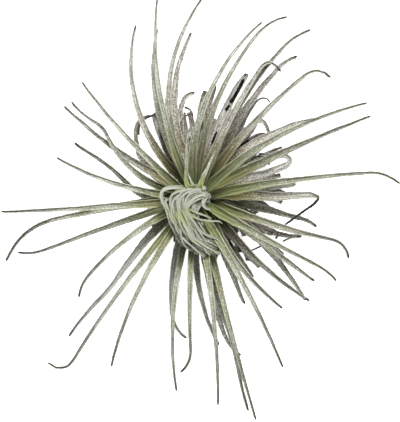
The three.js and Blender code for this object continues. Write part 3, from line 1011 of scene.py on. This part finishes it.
def swayed(points, draw, amount, lift):
    """The points moved a little, each strand its own way, and lifted over its neighbours."""
    sway = stray(draw, amount)
    bend = stray(draw, amount * STRAND_BEND)
    drift = stray(draw, amount)
    last = len(points) - 1
    moved = []
    for k, point in enumerate(points):
        part = k / last
        rise = Vector((0, 0, lift * math.sin(math.pi * part)))
        arc = sway * math.sin(math.pi * part) + bend * math.sin(2 * math.pi * part)
        moved.append(Vector(point) + arc + drift * part**2 * STRAND_DRIFT + rise)
    return moved


heart_draw = random.Random(4)
strands = []
for gap, count in enumerate(GAP_COUNTS):
    for number in range(count):
        share = (number + heart_draw.uniform(-1.0, 1.0)) / count
        points = between(GUIDES[gap], GUIDES[gap + 1], share)
        points = swayed(points, heart_draw, GAP_SWAY, heart_draw.uniform(*GAP_LIFTS))
        points = points[: heart_draw.choice(GAP_ENDS)]
        greenish = gap == 1 and share < GREEN_UNTIL
        finish = heart_draw.choice((SILVER, GREEN) if greenish else (SILVER, SILVER, SILVER, GREEN))
        strands.append((heart_draw.uniform(*GAP_BREADTHS), points, finish))
for _ in range(MAT_COUNT):
    gap = heart_draw.choice(MAT_GAPS)
    points = between(GUIDES[gap], GUIDES[gap + 1], heart_draw.random())[:MAT_END]
    points = swayed(points, heart_draw, MAT_SWAY, MAT_LIFT)
    strands.append((heart_draw.uniform(*MAT_BREADTHS), points, heart_draw.choice(heart_finishes)))
for _ in range(WISP_COUNT):
    gap = heart_draw.choice(WISP_GAPS)
    points = between(GUIDES[gap], GUIDES[gap + 1], heart_draw.random())[WISP_START:]
    points = swayed(points, heart_draw, WISP_SWAY, heart_draw.uniform(*WISP_LIFTS))
    strands.append((heart_draw.uniform(*WISP_BREADTHS), points, heart_draw.choice(heart_finishes)))
for number in range(BUD_COUNT):
    points = between(BUD_LEFT, BUD_RIGHT, number / (BUD_COUNT - 1))
    strands.append((1.0, swayed(points, heart_draw, BUD_SWAY, heart_draw.uniform(*BUD_LIFTS)), SILVER))
strands.append((*OUTER_LOOP, SILVER))
strands += [(breadth, points, GREEN) for breadth, points in CROSSING_STRANDS]
strands = [(breadth, STRAND_TAPER, points, finish) for breadth, points, finish in strands]
strands += [(breadth, taper, points, SILVER) for breadth, taper, points in COLLAR_STRANDS]
strands += [(breadth, HOLLOW_TAPER, points, painted_shadow_finish) for breadth, points in HOLLOWS]
for number, (breadth, taper, points, finish) in enumerate(strands):
    name = f"heart_strand_{number + 1:03d}"
    run = run_through(points, STRAND_HALF_WIDTH * breadth, taper, stem_top)
    mesh = blade_mesh(name, run, STRAND_SHAPE, name, STRAND_GAP)
    place_piece(name, mesh, finish, "heart", "heart")
for number, (half_width, points) in enumerate(YOUNG_LEAVES):
    name = f"young_leaf_{number + 1:02d}"
    run = run_through(points, half_width * MM, 1.0, stem_top)
    place_piece(name, blade_mesh(name, run, INNER_SHAPE, name), inner_finishes[1], "inner_leaf")


# ---------------------------------------------------------------- stem
# The short woody core that carries every leaf. It is wrapped in the torn brown fibres of fallen
# leaves, and its foot is trimmed flat.

STEM_TOP_RADIUS = 2.6 * MM
STEM_SIDES = 64
STEM_ROWS = 60
FIBRE_DEPTH = 0.35 * MM
RIDGE_FINENESS = 9
RIDGE_LENGTHS = 5
SCAR_TURNS = 28
SCAR_SLANT = 1.5

bark = Finish("stem_fibre")
bark_place = bark.node("ShaderNodeTexCoord", None, None, "Object")
stretched = bark.node(
    "ShaderNodeVectorMath", {"operation": "MULTIPLY"}, {0: bark_place, 1: (1.0, 1.0, 0.12)}
)
fibre = bark.node("ShaderNodeTexNoise", None, {"Vector": stretched, "Scale": 1600.0, "Detail": 4.0})
patch = bark.node("ShaderNodeTexNoise", None, {"Vector": bark_place, "Scale": 220.0, "Detail": 3.0})
bark_colour = bark.mix(bark.band(fibre, 0.35, 0.65), (0.055, 0.034, 0.02), (0.22, 0.155, 0.10))
bark_colour = bark.mix(bark.band(patch, 0.5, 0.7) * 0.6, bark_colour, (0.32, 0.27, 0.21))
bark_finish = bark.finish_with(bark_colour, 0.8 + fibre * 0.15, fibre, RELIEF, 0.05)

points = []
for row in range(STEM_ROWS + 1):
    part = row / STEM_ROWS
    axis = stem_top * part
    radius = STEM_FOOT_RADIUS + (STEM_TOP_RADIUS - STEM_FOOT_RADIUS) * part
    for k in range(STEM_SIDES):
        angle = 2 * math.pi * k / STEM_SIDES
        spoke = heading(math.degrees(angle))
        ridge = noise.noise(spoke * RIDGE_FINENESS + Vector((0, 0, part * RIDGE_LENGTHS)))
        scar = abs(math.sin(part * SCAR_TURNS + angle * SCAR_SLANT)) ** 6
        reach = radius + FIBRE_DEPTH * (ridge + scar - 0.6)
        points.append(axis + spoke * reach)
faces = ring_faces(STEM_ROWS + 1, STEM_SIDES)
faces.append(tuple(STEM_ROWS * STEM_SIDES + k for k in range(STEM_SIDES)))
stem_mesh = bpy.data.meshes.new("stem_core")
stem_mesh.from_pydata(points, [], faces)
stem_mesh.shade_smooth()
place_piece("stem_core", stem_mesh, bark_finish, "stem", "stem")


# ---------------------------------------------------------------- painted shade under cover
# Deep in the rosette, where the leaves crowd together, the blades are painted darker as shade.
# Each blade carries a measure of how closely its neighbours cover it from above.

SHELTER_REACH = 7 * MM
SHELTER_ROWS = 3
SHELTER_RAYS = 12
SHELTER_SPREAD = 0.65
RAY_START = 0.35 * MM
GOLDEN_TURN = math.pi * (3 - math.sqrt(5))


def skyward(number):
    """One of the directions that a blade is open to, spread evenly about straight up."""
    rise = 1 - SHELTER_SPREAD * (number + 0.5) / SHELTER_RAYS
    flat = math.sqrt(1 - rise * rise)
    return Vector((flat * math.cos(number * GOLDEN_TURN), flat * math.sin(number * GOLDEN_TURN), rise))


def occlusion_shade_at(tree, place, directions):
    """0 where nothing is near above the place, and 1 where it is covered all over."""
    cover = 0.0
    for direction in directions:
        distance = tree.ray_cast(place + direction * RAY_START, direction, SHELTER_REACH)[3]
        if distance is not None:
            cover += 1 - distance / SHELTER_REACH
    return cover / len(directions)


def mark_occlusion_shade(blades):
    """Adds to every blade its cover, which the finishes paint as shade, measured at points across it
    on every few rows.
    """
    points, faces = [], []
    for blade in blades:
        faces += [tuple(len(points) + v for v in face.vertices) for face in blade.polygons]
        points += [v.co.copy() for v in blade.vertices]
    tree = BVHTree.FromPolygons(points, faces)
    directions = [skyward(number) for number in range(SHELTER_RAYS)]
    probes = (0, UPPER_STRIPS // 2, UPPER_STRIPS)
    for blade in blades:
        rows = (len(blade.vertices) - 1) // BLADE_SIDES
        measured = []
        for row in range(0, rows, SHELTER_ROWS):
            places = [blade.vertices[row * BLADE_SIDES + probe].co for probe in probes]
            measured.append([occlusion_shade_at(tree, place, directions) for place in places])
        shelter = []
        for row in range(rows):
            first = measured[row // SHELTER_ROWS]
            second = measured[min(row // SHELTER_ROWS + 1, len(measured) - 1)]
            part = row % SHELTER_ROWS / SHELTER_ROWS
            left, middle, right = (a + (b - a) * part for a, b in zip(first, second))
            for place in UPPER_PLACES + LOWER_PLACES:
                edge = left if place < 0 else right
                shelter.append(middle + (edge - middle) * abs(place))
        shelter.append(shelter[-1])
        blade.attributes.new("shelter", "FLOAT", "POINT").data.foreach_set("value", shelter)


mark_occlusion_shade([mesh for mesh in bpy.data.meshes if "rim" in mesh.attributes])


# ---------------------------------------------------------------- floor, light and camera
# A plain white table under soft, even studio light. The camera looks almost straight down on
# the plant, from a little beyond its far right side.

FLOOR_HALF = 3.0
FLOOR_GLOW = 0.75
SKY_STRENGTH = 0.42
CAMERA_BEARING = 45.0
CAMERA_ELEVATION = 84.0
CAMERA_DISTANCE = 0.80
PICTURE_HEIGHT = 0.1688
SENSOR = 36.0
AIM = Vector((-1.35, -9.75, 25.0)) * MM

table = Finish("table_white")
table_surface = table.node(
    "ShaderNodeBsdfPrincipled",
    None,
    {
        "Base Color": (0.95, 0.95, 0.95, 1.0),
        "Roughness": 0.9,
        "Emission Color": (1.0, 1.0, 1.0, 1.0),
        "Emission Strength": FLOOR_GLOW,
    },
    "BSDF",
)
table.node("ShaderNodeOutputMaterial", None, {"Surface": table_surface})
floor_corners = [(x * FLOOR_HALF, y * FLOOR_HALF, 0) for x, y in ((-1, -1), (1, -1), (1, 1), (-1, 1))]
floor_mesh = bpy.data.meshes.new("table")
floor_mesh.from_pydata(floor_corners, [], [(0, 1, 2, 3)])
floor_mesh.materials.append(table.material)
floor = bpy.data.objects.new("table", floor_mesh)
bpy.context.scene.collection.objects.link(floor)

world = bpy.data.worlds.new("studio")
world.use_nodes = True
sky = world.node_tree.nodes["Background"]
sky.inputs["Color"].default_value = (1.0, 1.0, 1.0, 1.0)
sky.inputs["Strength"].default_value = SKY_STRENGTH
bpy.context.scene.world = world
bpy.context.scene.view_settings.view_transform = "Standard"


def soft_light(name, place, size, power):
    """A square panel of light that faces the plant."""
    panel = bpy.data.lights.new(name, "AREA")
    panel.size = size
    panel.energy = power
    light = bpy.data.objects.new(name, panel)
    light.location = place
    light.rotation_euler = (-Vector(place)).to_track_quat("-Z", "Y").to_euler()
    bpy.context.scene.collection.objects.link(light)


soft_light("key_panel", place=(0.16, 0.74, 1.1), size=0.5, power=36.0)
soft_light("fill_panel", place=(0.6, -0.6, 1.0), size=1.0, power=5.0)

elevation = math.radians(CAMERA_ELEVATION)
back = heading(CAMERA_BEARING) * math.cos(elevation) + Vector((0, 0, 1)) * math.sin(elevation)
up = (Vector((0, 1, 0)) - back * back.y).normalized()
right = up.cross(back)
turned = Matrix((right, up, back)).transposed().to_4x4()
camera = bpy.data.objects.new("camera", bpy.data.cameras.new("camera"))
camera.matrix_world = Matrix.Translation(AIM + back * CAMERA_DISTANCE) @ turned
camera.data.sensor_width = SENSOR
camera.data.lens = SENSOR * CAMERA_DISTANCE / PICTURE_HEIGHT
camera.data.clip_start = 0.01
bpy.context.scene.collection.objects.link(camera)
bpy.context.scene.camera = camera
